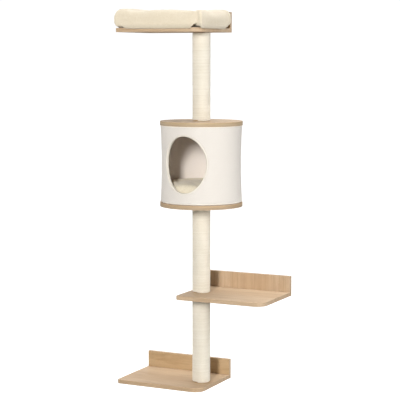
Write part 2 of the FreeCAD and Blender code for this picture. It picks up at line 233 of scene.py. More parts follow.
def fibre_board(name, colour):
    """Bare fibreboard: fine specks and faint clouds."""
    s = Shade(name)
    where = s.place()
    speck = s.noise(where, 700.0, 4.0, 0.7)
    cloud = s.noise(where, 45.0, 3.0)
    tone = s.mix(s.range(speck, 0.35, 0.7), tinted(colour, 1.12), tinted(colour, 0.74))
    tone = s.over(tone, tinted(colour, 0.85), cloud, 0.4, 0.65, 0.25)
    return s.finish(Base_Color=tone, Roughness=0.85, Normal=s.bump(speck, 0.0003, 0.5))


def card(name):
    """Brown wound card, with the faint spiral joints of its strips."""
    s = Shade(name)
    where = s.place()
    run, _, z = around(s, where, 0.0305)
    spiral = s.math("FRACT", s.plus(s.times(z, 12.0), s.times(run, 5.2)))
    joint = s.range(s.size(s.minus(spiral, 0.5)), 0.0, 0.02, 1.0, 0.0)
    fibre = s.noise(s.scaled(where, 1.0, 1.0, 0.25), 500.0, 4.0, 0.65)
    tone = s.mix(s.range(fibre, 0.3, 0.7), (0.50, 0.37, 0.24), (0.37, 0.26, 0.16))
    tone = s.mix(s.times(joint, 0.6), tone, (0.20, 0.14, 0.09))
    return s.finish(Base_Color=tone, Roughness=0.88, Normal=s.bump(fibre, 0.0003, 0.4))


def zinc(name):
    """Zinc plated steel: crystalline mottling and fine turning marks."""
    s = Shade(name)
    where = s.place()
    spangle = s.node("ShaderNodeTexVoronoi", {"Vector": where, "Scale": 900.0}).outputs["Color"]
    shade = s.node("ShaderNodeSeparateColor", {0: spangle}).outputs[0]
    marks = s.noise(s.scaled(where, 1.0, 1.0, 12.0), 600.0, 2.0)
    tone = s.mix(shade, (0.62, 0.63, 0.65), (0.48, 0.49, 0.51))
    return s.finish(Base_Color=tone, Metallic=1.0, Roughness=s.range(marks, 0.3, 0.7, 0.28, 0.46),
                    Normal=s.bump(marks, 0.00008, 0.5))


def rope_fibre(name):
    """Cream sisal: the slanting lay of three strands, and stray fibres along the rope, with
    painted shade in the grooves between the strands and between the turns.
    """
    s = Shade(name)
    where = s.place()
    run, angle, z = around(s, where, 0.0328)
    pitch = ROPE_PITCH * MM
    turn = s.math("DIVIDE", s.minus(z, s.times(angle, pitch / math.tau)), pitch)
    across = s.math("FRACT", turn)
    lay = s.plus(s.math("DIVIDE", run, 0.0060), s.times(across, 0.55))
    strand = s.size(s.minus(s.math("FRACT", lay), 0.5))
    ply = s.math("FRACT", s.times(lay, 5.0))
    along = s.together(s.times(lay, 10.0), s.times(turn, 2.0), s.times(run, 60.0))
    fibre = s.noise(along, 2.4, 4.0, 0.6)
    cloud = s.noise(where, 28.0, 3.0, 0.6)
    tone = s.mix(s.range(fibre, 0.3, 0.7), (0.875, 0.825, 0.715), (0.945, 0.905, 0.815))
    # painted shade: darker in the grooves between the strands
    tone = s.over(tone, (0.640, 0.580, 0.460), strand, 0.40, 0.5, 0.30)
    tone = s.over(tone, (0.700, 0.640, 0.500), cloud, 0.42, 0.66, 0.16)
    each = s.noise(s.together(s.times(s.math("FLOOR", turn), 0.731), 0.0, 0.0), 1.0, 1.0)
    tone = s.over(tone, (0.660, 0.600, 0.480), each, 0.38, 0.62, 0.22)
    # painted shade: darker in the groove between one turn and the next
    between = s.size(s.minus(across, 0.5))
    tone = s.over(tone, (0.520, 0.460, 0.350), between, 0.36, 0.5, 0.30)
    height = s.minus(s.times(fibre, 0.35), s.range(strand, 0.30, 0.5))
    height = s.plus(height, s.times(ply, 0.12))
    return s.finish(Base_Color=tone, Roughness=0.82, Normal=s.bump(height, 0.0007, 0.8),
                    Sheen_Weight=0.15, Sheen_Roughness=0.5)


def woven(name, light, dark, radius, thread):
    """Plain weave on a surface round the posts' axis, with painted shade where the threads
    dip. radius and thread are in metres.
    """
    s = Shade(name)
    where = s.place()
    run, _, z = around(s, where, radius)
    wobble = s.noise(where, 220.0, 2.0)
    across = s.plus(s.math("DIVIDE", run, thread), wobble)
    up = s.plus(s.math("DIVIDE", z, thread), wobble)
    warp, weft = [s.size(s.math("SINE", s.times(way, math.pi))) for way in (across, up)]
    square = s.plus(s.math("FLOOR", across), s.math("FLOOR", up))
    checker = s.size(s.math("MODULO", square, 2.0))
    thread_height = s.node("ShaderNodeMix", {0: checker, 2: warp, 3: weft}).outputs[0]
    slub = s.noise(s.together(s.times(run, 12.0), s.times(z, 900.0), 0.0), 1.0, 3.0)
    cloud = s.noise(where, 14.0, 3.0)
    # painted shade: the weave is darker where its threads dip, between the threads
    tone = s.mix(s.range(thread_height, 0.0, 0.9), dark, light)
    tone = s.over(tone, dark, slub, 0.52, 0.72, 0.35)
    tone = s.over(tone, dark, cloud, 0.40, 0.65, 0.10)
    return s.finish(Base_Color=tone, Roughness=0.86, Normal=s.bump(thread_height, 0.00022, 0.7),
                    Sheen_Weight=0.12, Sheen_Roughness=0.45)


def felt(name, light, dark):
    """Short felt with a matted nap."""
    s = Shade(name)
    where = s.place()
    nap = s.noise(where, 420.0, 6.0, 0.75, 0.8)
    cloud = s.noise(where, 22.0, 3.0)
    tone = s.mix(s.range(nap, 0.32, 0.68), dark, light)
    tone = s.over(tone, dark, cloud, 0.4, 0.66, 0.18)
    return s.finish(Base_Color=tone, Roughness=0.95, Normal=s.bump(nap, 0.0006, 0.6),
                    Sheen_Weight=0.2, Sheen_Roughness=0.6)


def plush(name, light, dark, pile=1.0, seed=0.0, foot=None):
    """Short pile plush: clumped pile, brushed patches and a soft sheen. foot is the height, in
    metres, towards which the pile is darkened with painted shade."""
    s = Shade(name)
    where = s.node("ShaderNodeVectorMath", {0: s.place(), 1: (seed, seed, seed)},
                   operation="ADD").outputs[0]
    bend = s.noise(where, 60.0, 3.0, 0.6)
    strand = s.noise(s.scaled(where, 1.0, 1.0, 0.7), 900.0 / pile, 4.0, 0.7, 1.2)
    clump = s.noise(where, 190.0 / pile, 4.0, 0.62, 1.6)
    brushed = s.noise(s.scaled(where, 1.0, 1.0, 1.6), 20.0, 3.0, 0.55, 0.6)
    tone = s.mix(s.range(clump, 0.33, 0.62), dark, light)
    tone = s.over(tone, tinted(light, 1.09), strand, 0.5, 0.72, 0.30)
    tone = s.over(tone, dark, brushed, 0.42, 0.64, 0.28)
    # painted shade: the pile darkens towards the foot
    if foot is not None:
        level = s.apart(s.place())[2]
        foot_shade = s.range(level, foot - 0.007, foot + 0.014, 0.64, 0.0)
        tone = s.mix(foot_shade, tone, tinted(dark, 0.62))
    height = s.plus(clump, s.times(strand, 0.35))
    height = s.plus(height, s.times(bend, 0.6))
    return s.finish(Base_Color=tone, Roughness=0.93, Normal=s.bump(height, 0.0022 * pile, 0.75),
                    Sheen_Weight=0.35, Sheen_Roughness=0.5)


def tape(name, light, dark):
    """Ribbed binding tape."""
    s = Shade(name)
    where = s.place()
    rib = s.noise(where, 1400.0, 2.0, 0.6)
    cloud = s.noise(where, 60.0, 3.0)
    tone = s.mix(s.range(rib, 0.35, 0.65), dark, light)
    tone = s.over(tone, dark, cloud, 0.4, 0.65, 0.2)
    return s.finish(Base_Color=tone, Roughness=0.8, Normal=s.bump(rib, 0.0003, 0.6),
                    Sheen_Weight=0.1)


MAT = {
    "board": oak("oak_board_top", "x", 0.0),
    "board_middle": oak("oak_middle_top", "x", 0.37),
    "board_bed": oak("oak_bed_top", "x", 0.81),
    "panel_level": oak("oak_panel_level", "x", 0.55, (0.475, 0.312, 0.160), (0.365, 0.226, 0.105),
                       (0.540, 0.380, 0.218)),
    "panel_upright": oak("oak_panel_upright", "z", 0.23, tinted(OAK_LIGHT, 0.88),
                         tinted(OAK_DARK, 0.86), tinted(OAK_PALE, 0.86)),
    "round": oak("oak_round", "x", 1.3),
    # the two rims get painted shade towards their lower side
    "rim_floor": oak("oak_rim_floor", "ring", 0.9, (0.500, 0.358, 0.220), (0.345, 0.230, 0.128),
                     (0.570, 0.425, 0.280), foot=floor_low.z),
    "rim_roof": oak("oak_rim_roof", "ring", 1.4, (0.485, 0.358, 0.215), (0.335, 0.228, 0.125),
                    (0.540, 0.415, 0.265), foot=roof_low.z),
    "band": oak("oak_edge_band", "x", 1.9, tinted(OAK_LIGHT, 0.90), tinted(OAK_DARK, 0.86),
                tinted(OAK_PALE, 0.88)),
    "disc": fibre_board("disc_fibre", (0.52, 0.38, 0.24)),
    "plug": fibre_board("plug_fibre", (0.60, 0.45, 0.29)),
    "card": card("wound_card"),
    "zinc": zinc("zinc_plate"),
    "rope": rope_fibre("sisal_rope"),
    "cover": woven("cover_weave", (0.765, 0.726, 0.682), (0.690, 0.646, 0.592), 0.153, 0.0011),
    "lining": felt("lining_felt", (0.880, 0.818, 0.768), (0.800, 0.728, 0.668)),
    "core": felt("core_felt", (0.560, 0.500, 0.420), (0.450, 0.390, 0.320)),
    "binding": tape("binding_tape", (0.860, 0.815, 0.735), (0.740, 0.690, 0.600)),
    "piping": tape("piping_cord", (0.900, 0.860, 0.790), (0.800, 0.750, 0.670)),
    # the bed's rim gets painted shade towards its foot
    "plush": plush("bed_plush", (0.808, 0.724, 0.578), (0.722, 0.630, 0.474),
                   foot=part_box("bed_bolster")[0].z),
    "pad": plush("pad_plush", (0.860, 0.780, 0.630), (0.770, 0.680, 0.520), 1.1, 0.5),
    "cushion": plush("cushion_plush", (0.850, 0.775, 0.620), (0.740, 0.655, 0.490), 1.0, 1.1),
    "under": woven("under_cloth", (0.360, 0.330, 0.300), (0.250, 0.230, 0.205), 0.2, 0.0012),
    "thread": tape("sewing_thread", (0.800, 0.740, 0.640), (0.660, 0.600, 0.500)),
}


for node, material in {
    "bottom_board": "board", "middle_board": "board_middle", "bed_board": "board_bed",
    "bottom_back_panel": "panel_level", "middle_back_panel": "panel_upright",
    "bed_back_panel": "panel_level",
    "cabin_floor_board": "round", "cabin_roof_board": "round",
    "cabin_floor_disc": "disc", "cabin_roof_disc": "disc",
    "post_end_plugs": "plug", "post_tubes": "card", "post_long_nuts": "zinc",
    "post_joining_stud": "zinc", "shelf_bolts": "zinc", "cabin_bolts": "zinc",
    "shelf_joint_screws": "zinc", "cabin_core": "core",
}.items():
    nodes[node].data.materials.clear()
    nodes[node].data.materials.append(MAT[material])


# -------- mesh helpers

def add(name, data):
    """A new object in the scene."""
    made = bpy.data.objects.new(name, data)
    bpy.context.scene.collection.objects.link(made)
    return made


def make(name, points, faces, material, body="frame", smooth=True):
    """A mesh piece from points in millimetres."""
    mesh = bpy.data.meshes.new(name)
    mesh.from_pydata([Vector(p) * MM for p in points], [], faces)
    mesh.validate()
    work = bmesh.new()
    work.from_mesh(mesh)
    bmesh.ops.recalc_face_normals(work, faces=work.faces)
    work.to_mesh(mesh)
    work.free()
    mesh.polygons.foreach_set("use_smooth", [smooth] * len(mesh.polygons))
    mesh.materials.append(MAT[material])
    piece = add(name, mesh)
    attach(piece, body)
    return piece


def tube_faces(rings, across, closed, first=0):
    """Quads between rings of points; closed joins the last ring to the first."""
    faces = []
    for i in range(rings if closed else rings - 1):
        a = first + i * across
        b = first + ((i + 1) % rings) * across
        for j in range(across):
            k = (j + 1) % across
            faces.append((a + j, a + k, b + k, b + j))
    return faces


def rod_faces(rings, across, first=0):
    """The quads of an open tube, and a cap on each of its ends."""
    last = first + (rings - 1) * across
    return tube_faces(rings, across, False, first) + [tuple(range(first, first + across)),
                                                      tuple(range(last, last + across))]


def angles(count):
    """Equal steps round a circle."""
    return [math.tau * k / count for k in range(count)]


def falloff(distance, width):
    """1 at no distance, and smoothly less over the width."""
    return math.exp(-(distance / width) ** 2)


def swell(value, power):
    """The value raised to a power, with its sign kept."""
    return math.copysign(abs(value) ** power, value)


def ease(t):
    t = min(1.0, max(0.0, t))
    return t * t * (3.0 - 2.0 * t)


def on_wall(radius, theta, z):
    """A point at a radius and an angle round the posts' axis. The angle 0 is at the front."""
    return (AXIS_X + radius * math.sin(theta), AXIS_Y - radius * math.cos(theta), z)


def outward(theta):
    return Vector((math.sin(theta), -math.cos(theta), 0.0))


def cover_radius(z):
    """The cover's drawn-in curve: an arc from the floor board to the roof board."""
    half = (WALL_HIGH - WALL_LOW) / 2
    bend = (half * half + WAIST_DRAW_IN ** 2) / (2 * WAIST_DRAW_IN)
    rise = min(half, max(-half, z - WALL_LOW - half))
    return WAIST_RADIUS + bend - math.sqrt(bend * bend - rise * rise)


def egg(alpha, grow=0.0):
    """A point of the doorway's outline: (across, height)."""
    tall = (DOOR_ABOVE if math.sin(alpha) >= 0 else DOOR_BELOW) + grow
    return (DOOR_HALF + grow) * math.cos(alpha), DOOR_CENTRE + tall * math.sin(alpha)


# -------- edge bands and hole caps

PANEL_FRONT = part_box("bottom_back_panel")[0].y / MM
LEFT_CORNER, RIGHT_CORNER = 12.0, 42.0
BAND = 0.45  # how thick an edge band is
BAND_MARGIN = 1.05  # keeps it between the board's chamfers
RIM_STEPS = 180
HOLE_HEIGHT = 47.0
HOLE_HALF_SPACING = 137.0


def band_piece(name, rings, closed, material):
    sizes = len(rings), len(rings[0])
    faces = tube_faces(*sizes, True) if closed else rod_faces(*sizes)
    piece = make(name, [p for ring in rings for p in ring], faces, material, smooth=False)


def band_profile(low, high):
    """(out, along) round the thin strip's section."""
    return ((0.05, low), (BAND - 0.12, low), (BAND, low + 0.25), (BAND, high - 0.25),
            (BAND - 0.12, high), (0.05, high))


def board_band(label):
    """The band round a shelf board's free edges: left side, front and right side."""
    (left, right), (front, _), (foot, top) = spans(label + "_board")
    back = PANEL_FRONT - 0.3
    path = [(left, back, -1.0, 0.0)]
    for cx, r, start in ((left + LEFT_CORNER, LEFT_CORNER, 180),
                         (right - RIGHT_CORNER, RIGHT_CORNER, 270)):
        for k in range(17):
            a = math.radians(start + 90 * k / 16)
            c, s = math.cos(a), math.sin(a)
            path.append((cx + r * c, front + r + r * s, c, s))
    path.append((right, back, 1.0, 0.0))
    profile = band_profile(foot + BAND_MARGIN, top - BAND_MARGIN)
    band_piece("edge_band_" + label, [[(x + nx * out, y + ny * out, z) for out, z in profile]
                                      for x, y, nx, ny in path], False, "band")


def panel_band(label):
    """The band round a back panel's left, upper and right edges."""
    (left, right), _, (foot, top) = spans(label + "_back_panel")
    foot += 1.0
    path = ((left, foot, -1, 0), (left, top, -1, 1), (right, top, 1, 1), (right, foot, 1, 0))
    profile = band_profile(PANEL_FRONT + BAND_MARGIN, -0.6)
    band_piece("panel_band_" + label, [[(x + nx * out, y, z + nz * out) for out, y in profile]
                                       for x, z, nx, nz in path], False, "band")


for label in ("bottom", "middle", "bed"):
    board_band(label)
    panel_band(label)


def hole_caps(label, material):
    """Flat domed caps in the panel's own colour over its two wall-screw holes."""
    (left, right), _, (foot, _) = spans(label + "_back_panel")
    middle = (left + right) / 2
    level = foot + HOLE_HEIGHT
    sides = 28
    profile = ((0.0, 4.6), (0.35, 5.0), (0.65, 4.7), (0.9, 3.6), (1.0, 1.8))
    points, faces = [], []
    for x in (middle - HOLE_HALF_SPACING, middle + HOLE_HALF_SPACING):
        faces += rod_faces(len(profile), sides, len(points))
        for out, r in profile:
            y = PANEL_FRONT - 0.03 - out
            points += [(x + r * math.cos(a), y, level + r * math.sin(a)) for a in angles(sides)]
    make("hole_caps_" + label, points, faces, material)


hole_caps("bottom", "panel_level")
hole_caps("middle", "panel_upright")

for label in ("floor", "roof"):
    foot, top = spans("cabin_" + label + "_board")[2]
    profile = band_profile(foot + BAND_MARGIN, top - BAND_MARGIN)
    rings = [[on_wall(BOARD_RADIUS + out, theta, z) for out, z in profile]
             for theta in angles(RIM_STEPS)]
    band_piece("rim_band_" + label, rings, True, "rim_" + label)


# -------- rope on the posts

def wound_rope(name, bottom):
    """One rope wound up a post, turn on turn, its two ends tucked against the tube."""
    turns = (POST_LENGTH - 2 * ROPE_HALF - 2 * ROPE_END_GAP) / ROPE_PITCH
    steps, taper, section = 36, 12.0, 9
    count = int(turns * steps) + 1
    points = []
    for i in range(count):
        along = i / (count - 1)
        angle = turns * along * math.tau
        z = bottom + ROPE_HALF + ROPE_END_GAP + turns * ROPE_PITCH * along
        full = min(1.0, i / taper, (count - 1 - i) / taper)
        thick = ROPE_HALF * (0.55 + 0.45 * full)
        line = ROPE_LINE - (ROPE_HALF - thick)
        wander = 0.05 * math.sin(angle * 0.37) + 0.03 * math.sin(angle * 5.3)
        for turn in angles(section):
            r = line + thick * math.cos(turn)
            h = z + wander + thick * 1.02 * math.sin(turn)
            points.append(on_wall(r, angle, h))
    return make(name, points, rod_faces(count, section), "rope")


for label, bottom in zip(("lower", "middle", "upper"), POST_BOTTOMS):
    rope = wound_rope("rope_" + label, bottom)
    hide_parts("post_ropes")


# -------- cabin wall

def wall_grid(grow, patch=math.radians(56), rows=40, door_columns=56, rings=14, rest=96):
    """Points (theta, z) and quads of the round wall with the egg left out, and the loops of
    point numbers round the egg, the bottom and the top."""
    low, high = WALL_LOW, WALL_HIGH
    border = [(-patch + 2 * patch * i / door_columns, low) for i in range(door_columns)]
    border += [(patch, low + (high - low) * i / rows) for i in range(rows)]
    border += [(patch - 2 * patch * i / door_columns, high) for i in range(door_columns)]
    border += [(-patch, high - (high - low) * i / rows) for i in range(rows)]
    count = len(border)
    points = list(border)
    faces = []
    previous = list(range(count))
    half_angle = math.asin((DOOR_HALF + grow) / WAIST_RADIUS)
    for ring in range(1, rings + 1):
        t = 1.0 - (1.0 - ring / rings) ** 1.6
        current = []
        for k, (theta, z) in enumerate(border):
            tall = (DOOR_ABOVE if z >= DOOR_CENTRE else DOOR_BELOW) + grow
            alpha = math.atan2((z - DOOR_CENTRE) / tall, theta / half_angle)
            x, height = egg(alpha, grow)
            edge = math.asin(x / cover_radius(height))
            current.append(len(points))
            points.append((theta + (edge - theta) * t, z + (height - z) * t))
        for k in range(count):
            n = (k + 1) % count
            faces.append((previous[k], previous[n], current[n], current[k]))
        previous = current
    # the rest of the wall, from the patch's right side round the back to its left side
    columns = [list(range(door_columns, door_columns + rows + 1))]
    for c in range(1, rest):
        theta = patch + (math.tau - 2 * patch) * c / rest
        columns.append(list(range(len(points), len(points) + rows + 1)))
        points += [(theta, low + (high - low) * i / rows) for i in range(rows + 1)]
    left = [0] + [count - i for i in range(1, rows + 1)]
    columns.append(left)
    for a, b in zip(columns, columns[1:]):
        for i in range(rows):
            faces.append((a[i], b[i], b[i + 1], a[i + 1]))
    bottom_loop = list(range(door_columns)) + [col[0] for col in columns[:-1]]
    top_loop = ([columns[0][rows]] + [door_columns + rows + i for i in range(1, door_columns)]
                + [left[rows]] + [columns[c][rows] for c in range(rest - 1, 0, -1)])
    return points, faces, previous, bottom_loop, top_loop


def wall_skin(name, outer, thickness, grow, material):
    """A closed skin between outer(theta, z) and thickness less, with the doorway cut out."""
    flat, quads, door, bottom, top = wall_grid(grow)
    count = len(flat)
    points = [on_wall(outer(theta, z), theta, z) for theta, z in flat]
    points += [on_wall(outer(theta, z) - thickness, theta, z) for theta, z in flat]
    faces = list(quads)
    faces += [tuple(count + i for i in reversed(q)) for q in quads]
    for loop in (door, bottom, top):
        for i in range(len(loop)):
            a, b = loop[i], loop[(i + 1) % len(loop)]
            faces.append((a, b, count + b, count + a))
    return make(name, points, faces, material)


DOOR_MEAN = 95.0  # the doorway's mean radius, roughly


def egg_distance(theta, z):
    """Roughly how far a point of the wall is from the doorway's edge, in millimetres."""
    if math.cos(theta) <= 0:
        return math.inf
    tall = DOOR_ABOVE if z >= DOOR_CENTRE else DOOR_BELOW
    reach = math.hypot(WAIST_RADIUS * math.sin(theta) / DOOR_HALF, (z - DOOR_CENTRE) / tall)
    return max(0.0, (reach - 1.0) * DOOR_MEAN)


def padded_cover(theta, z):
    """The cover's radius: the drawn-in curve, rolled in at the doorway and at the two ends and
    tucked in at its foot, with shallow puckers where it is held."""
    edge = egg_distance(theta, z)
    end = min(z - WALL_LOW, WALL_HIGH - z)
    radius = cover_radius(z)
    radius -= 1.6 * falloff(edge, 4.5)
    radius -= 1.0 * falloff(end, 5.0)
    radius -= 3.6 * min(1.0, max(0.0, (WALL_LOW + 3.4 - z) / 1.2))
    place = Vector((theta * 9.0, z * 0.02, 1.7))
    radius += 0.35 * noise.noise(place) + 0.15 * noise.noise(place * 2.7)
    pucker = noise.noise(Vector((theta * 34.0, 0.3, z * 0.004)))
    radius += 0.35 * pucker * falloff(end, 26.0)
    return radius


cover = wall_skin("cabin_wall_cover", padded_cover, 2.2, 1.0, "cover")
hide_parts("cabin_cover")

lining = wall_skin("cabin_wall_lining", lambda theta, z: CORE_INNER_RADIUS - 0.05, 0.5, 0.6,
                   "lining")

SWEEP_RADIUS = 148.0


def binding_section(z):
    """A folded tape round the wall's raw edge, thicker at its two folded lips, as points
    (out from the sweep's radius, towards the hole)."""
    outer = cover_radius(z) - SWEEP_RADIUS + 0.5
    inner = CORE_INNER_RADIUS - SWEEP_RADIUS - 0.9
    middle = (outer + inner) / 2
    half = (outer - inner) / 2
    return [(middle + half * swell(math.cos(turn), 0.55), -0.6 + 1.75 * swell(math.sin(turn), 0.75))
            for turn in angles(20)]


def door_edge(alpha):
    """A point of the doorway's edge, with its angle and height on the wall."""
    x, z = egg(alpha)
    theta = math.asin(x / cover_radius(z))
    return Vector(on_wall(SWEEP_RADIUS, theta, z)), theta, z


def door_binding(steps=200, step=0.004):
    """The tape's section swept round the doorway."""
    centre = Vector((AXIS_X, AXIS_Y - SWEEP_RADIUS, DOOR_CENTRE))
    points = []
    for alpha in angles(steps):
        middle, theta, z = door_edge(alpha)
        tangent = (door_edge(alpha + step)[0] - door_edge(alpha - step)[0]).normalized()
        out = outward(theta)
        inward = out.cross(tangent).normalized()
        if (centre - middle).dot(inward) < 0:
            inward = -inward
        points += [middle + out * u + inward * v for u, v in binding_section(z)]
    faces = tube_faces(steps, len(points) // steps, True)
    return make("door_binding_tape", points, faces, "binding")


binding = door_binding()
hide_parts("cabin_door_binding")


def door_stitches():
    """A row of stitches through the cover beside the doorway's tape."""
    count, section, thick, from_edge = 128, 6, 0.42, 4.6
    rise = (-0.35, -0.02, 0.20, 0.26, 0.20, -0.02, -0.35)
    points, faces = [], []
    for k in range(count):
        places = []
        for i, height in enumerate(rise, -3):
            x, z = egg(math.tau * (k + 0.5 + 0.10 * i) / count, from_edge)
            theta = math.asin(x / cover_radius(z))
            places.append((Vector(on_wall(padded_cover(theta, z) + height, theta, z)), theta))
        faces += rod_faces(len(places), section, len(points))
        for i, (middle, theta) in enumerate(places):
            along = places[min(6, i + 1)][0] - places[max(0, i - 1)][0]
            out = outward(theta)
            side = out.cross(along).normalized()
            points += [middle + (out * math.cos(turn) + side * math.sin(turn)) * thick
                       for turn in angles(section)]
    return make("door_stitches", points, faces, "thread")


door_stitches()


def back_seam():
    """The lapped seam where the cover's two ends meet, at the back."""
    profile = ((-6.5, -0.5), (-6.5, 0.25), (-5.4, 0.75), (-2.0, 0.95), (2.0, 0.85), (5.4, 0.75),
               (6.5, 0.25), (6.5, -0.5))
    rows = 60
    points = []
    for i in range(rows + 1):
        z = WALL_LOW + 7.0 + (WALL_HIGH - WALL_LOW - 11.0) * i / rows
        for across, out in profile:
            theta = math.pi + (across + 0.35 * math.sin(i * 1.9)) / WAIST_RADIUS
            points.append(on_wall(padded_cover(theta, z) + out, theta, z))
    return make("cover_back_seam", points, rod_faces(rows + 1, len(profile)), "cover")


back_seam()


def piping(label, z, radius=COVER_END_RADIUS - 0.9, thick=1.65, steps=180, section=10):
    """A thin cord sewn round one end of the cover."""
    points = [on_wall(radius + thick * math.cos(turn), theta, z + thick * math.sin(turn))
              for theta in angles(steps) for turn in angles(section)]
    bead = make("cabin_piping_" + label, points, tube_faces(steps, section, True), "piping")


piping("floor", WALL_LOW + 4.4)
piping("roof", WALL_HIGH - 1.75)


# -------- soft pieces

VOXEL = 5.0
CLOTH_FRAMES = 20
CLOTH = {"quality": 4, "mass": 0.15, "tension_stiffness": 6.0, "compression_stiffness": 6.0,
         "shear_stiffness": 3.0, "bending_stiffness": 0.6, "use_pressure": True,
         "uniform_pressure_force": 4.0, "vertex_group_mass": "held"}


def evaluated(piece):
    """A new mesh of the piece as its modifiers leave it."""
    return bpy.data.meshes.new_from_object(
        piece.evaluated_get(bpy.context.evaluated_depsgraph_get()))


def remesh(piece):
    """The piece's mesh rebuilt as even quads."""
    change = piece.modifiers.new("even", "REMESH")
    change.mode = "VOXEL"
    change.voxel_size = VOXEL * MM
    change.use_smooth_shade = True
    even = evaluated(piece)
    piece.modifiers.clear()
    material = piece.data.materials[0]
    piece.data = even
    even.materials.clear()
    even.materials.append(material)


def fill_out(piece, held, cap):
    """Blows the piece up as cloth under pressure. held(point) is true where a seam or the
    ground keeps it. No point moves further than the cap, in millimetres."""
    remesh(piece)
    mesh = piece.data
    before = [v.co.copy() for v in mesh.vertices]
    group = piece.vertex_groups.new(name="held")
    for v in mesh.vertices:
        if held(v.co / MM):
            group.add([v.index], 1.0, "REPLACE")
    cloth = piece.modifiers.new("cloth", "CLOTH")
    for setting, value in CLOTH.items():
        setattr(cloth.settings, setting, value)
    cloth.settings.effector_weights.gravity = 0.0
    cloth.collision_settings.use_collision = False
    scene = bpy.context.scene
    for step in range(1, CLOTH_FRAMES + 1):
        scene.frame_set(step)
    moved = evaluated(piece)
    for v, old, new in zip(mesh.vertices, before, moved.vertices):
        shift = new.co - old
        far = shift.length / MM
        if far > cap:
            shift *= cap / far
        v.co = old + shift
    bpy.data.meshes.remove(moved)
    piece.modifiers.clear()
    piece.vertex_groups.clear()
    scene.frame_set(1)


def sculpt(piece, change):
    """Moves each point of the piece: change(point, normal) returns its new place."""
    mesh = piece.data
    normals = [v.normal.copy() for v in mesh.vertices]
    for v, normal in zip(mesh.vertices, normals):
        v.co = change(v.co / MM, normal) * MM
    mesh.polygons.foreach_set("use_smooth", [True] * len(mesh.polygons))
    mesh.update()


def finer(piece):
    """One level of subdivision, applied."""
    change = piece.modifiers.new("finer", "SUBSURF")
    change.levels = 1
    change.render_levels = 1
    smooth = evaluated(piece)
    piece.modifiers.clear()
    piece.data = smooth


def stuff(piece, held, cap, shape):
    """Fills the piece out, subdivides it and sculpts it."""
    fill_out(piece, held, cap)
    finer(piece)
    sculpt(piece, shape)


def fuzz(point, size, seed):
    return noise.noise(point / size + Vector((seed, seed, seed)))


CUSHION_LOW, CUSHION_HIGH = spans("cabin_cushion")[2]
CUSHION_SEAM = 30.0  # height of the seam round its side, over its foot
CUSHION_CHANNEL = 94.0  # radius of the channel sewn round its top
CUSHION_REACH = 142.6  # just inside the cabin's lining


def round_cushion():
    """The cabin's thick round cushion, before it is filled."""
    steps = 96
    rows = [(60.0, 0.5), (105.0, 0.8), (125.0, 3.0), (134.0, 9.0), (138.5, 18.0),
            (139.0, CUSHION_SEAM), (138.5, 43.0), (136.0, 55.0), (129.5, 65.0), (116.0, 71.5),
            (104.0, 70.5), (CUSHION_CHANNEL, 65.0), (84.0, 67.5), (60.0, 70.0), (30.0, 71.0)]
    points = [on_wall(r, theta, CUSHION_LOW + h) for r, h in rows for theta in angles(steps)]
    faces = tube_faces(len(rows), steps, False)
    foot, top = len(points), len(points) + 1
    points += [(AXIS_X, AXIS_Y, CUSHION_LOW + 0.5), (AXIS_X, AXIS_Y, CUSHION_LOW + 71.0)]
    last = (len(rows) - 1) * steps
    for i in range(steps):
        n = (i + 1) % steps
        faces += [(i, n, foot), (last + i, last + n, top)]
    return make("cabin_round_cushion", points, faces, "cushion")


def from_axis(point):
    return math.hypot(point.x - AXIS_X, point.y - AXIS_Y)


def cushion_held(point):
    out, up = from_axis(point), point.z - CUSHION_LOW
    return (up < 4.0 or (abs(out - CUSHION_CHANNEL) < 4.0 and up > 45.0)
            or (abs(up - CUSHION_SEAM) < 3.0 and out > 130.0))


# the lines of two creases in the cushion's top, as places in plan
CUSHION_FOLDS = (((40.0, -182.0), (112.0, -262.0), (182.0, -274.0)),
                 ((48.0, -147.0), (140.0, -226.0), (186.0, -236.0)))


def off_line(point, a, b):
    """Distance in plan from the line from a to b."""
    run, rise = b[0] - a[0], b[1] - a[1]
    t = ((point.x - a[0]) * run + (point.y - a[1]) * rise) / (run * run + rise * rise)
    t = min(1.0, max(0.0, t))
    return math.hypot(point.x - a[0] - run * t, point.y - a[1] - rise * t)


def cushion_shape(point, normal):
    """Uneven filling, a gathered channel and two creases in the top, a puckered side seam and
    nap, kept inside the cabin."""
    out, up = from_axis(point), point.z - CUSHION_LOW
    theta = math.atan2(point.x - AXIS_X, AXIS_Y - point.y)
    if up > 34.0:
        point = point + normal * 3.2 * fuzz(point, 46.0, 3.0)
        gather = noise.noise(Vector((theta * 8.0, 1.9, 0.0)))
        point = point - Vector((0, 0, 0.5 + 2.0 * gather)) * falloff(out - CUSHION_CHANNEL, 11.0)
        for fold in CUSHION_FOLDS:
            away = min(off_line(point, a, b) for a, b in zip(fold, fold[1:]))
            point = point - Vector((0, 0, 5.0)) * falloff(away, 6.0)
    if out > 100.0 and up > 3.0:
        pucker = noise.noise(Vector((theta * 14.0, 0.7, up * 0.01)))
        seam = up - CUSHION_SEAM
        point = point - normal * (2.6 * falloff(seam, 3.4) + 1.3 * pucker * falloff(seam, 11.0))
    point = point + normal * 0.45 * fuzz(point, 6.5, 1.0)
    away = from_axis(point)
    if away > CUSHION_REACH:
        point.x = AXIS_X + (point.x - AXIS_X) * CUSHION_REACH / away
        point.y = AXIS_Y + (point.y - AXIS_Y) * CUSHION_REACH / away
    point.z = min(CUSHION_HIGH + 4.0, max(CUSHION_LOW + 0.2, point.z))
    return point


cushion = round_cushion()
stuff(cushion, cushion_held, 4.0, cushion_shape)
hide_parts("cabin_cushion")

(BED_X0, BED_X1), (BED_Y0, BED_Y1), (BED_Z0, BED_Z1) = spans("bed_bolster")
(BOARD_LEFT, BOARD_RIGHT), (BOARD_FRONT, _), _ = spans("bed_board")
RIM_INSET = 30.0  # from the bed's side to the middle of its roll
RIM_MIDDLE = 33.0  # height of the roll's middle over the bed's foot
RIM_REACH = 28.5
RIM_HANG = 8.0


